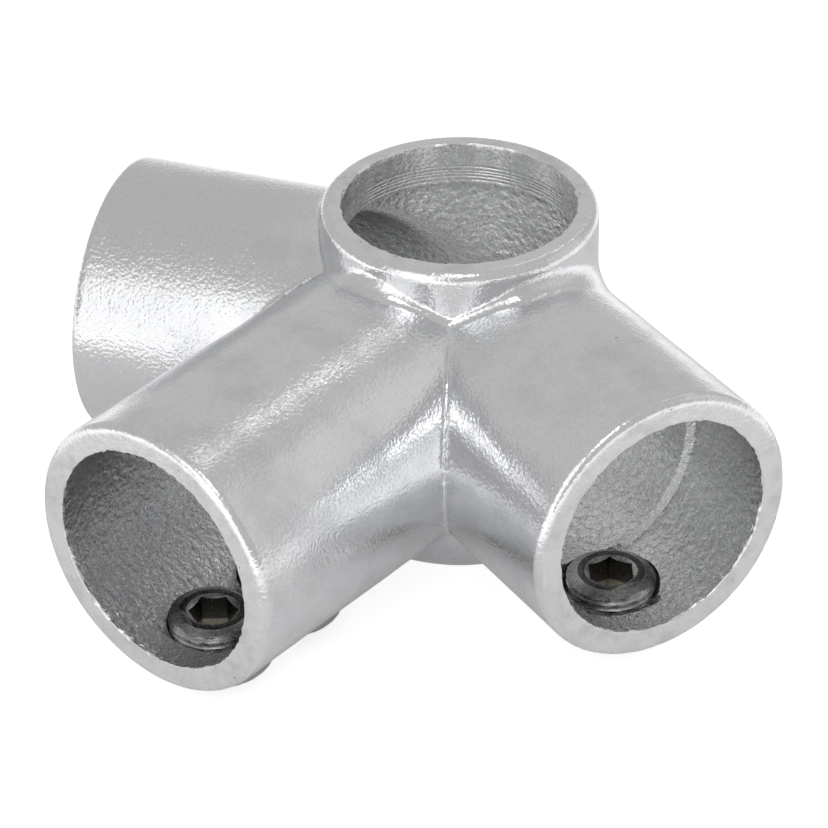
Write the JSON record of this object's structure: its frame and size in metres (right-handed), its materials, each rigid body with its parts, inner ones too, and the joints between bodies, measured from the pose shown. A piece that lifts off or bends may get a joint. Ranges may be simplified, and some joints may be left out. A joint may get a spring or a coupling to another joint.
{
  "type": "tube connector",
  "caption": "Galvanised cast connector for round tube: a short through collar with three sockets square to it, each closed on its tube by set screws.",
  "frame": {"origin": "the point where the axis of the through collar meets the axes of the three sockets", "axes": "+Z along the collar, away from the side that the sockets' screws stand on; -Y out of the middle socket; the side sockets point 20 degrees in front of +X and -X"},
  "size_m": [0.1482, 0.12, 0.0658],
  "materials": {
    "galvanised_iron": "hot-dip galvanised, semi-bright zinc over a fine sand-cast skin",
    "screw_steel": "dark, lightly oiled hardened steel"
  },
  "bodies": {
    "root": {"connector_body": "galvanised_iron", "set_screw_right": "screw_steel", "set_screw_post_outer": "screw_steel", "set_screw_post_inner": "screw_steel", "set_screw_left": "screw_steel", "set_screw_collar": "screw_steel"}
  },
  "joints": []
}
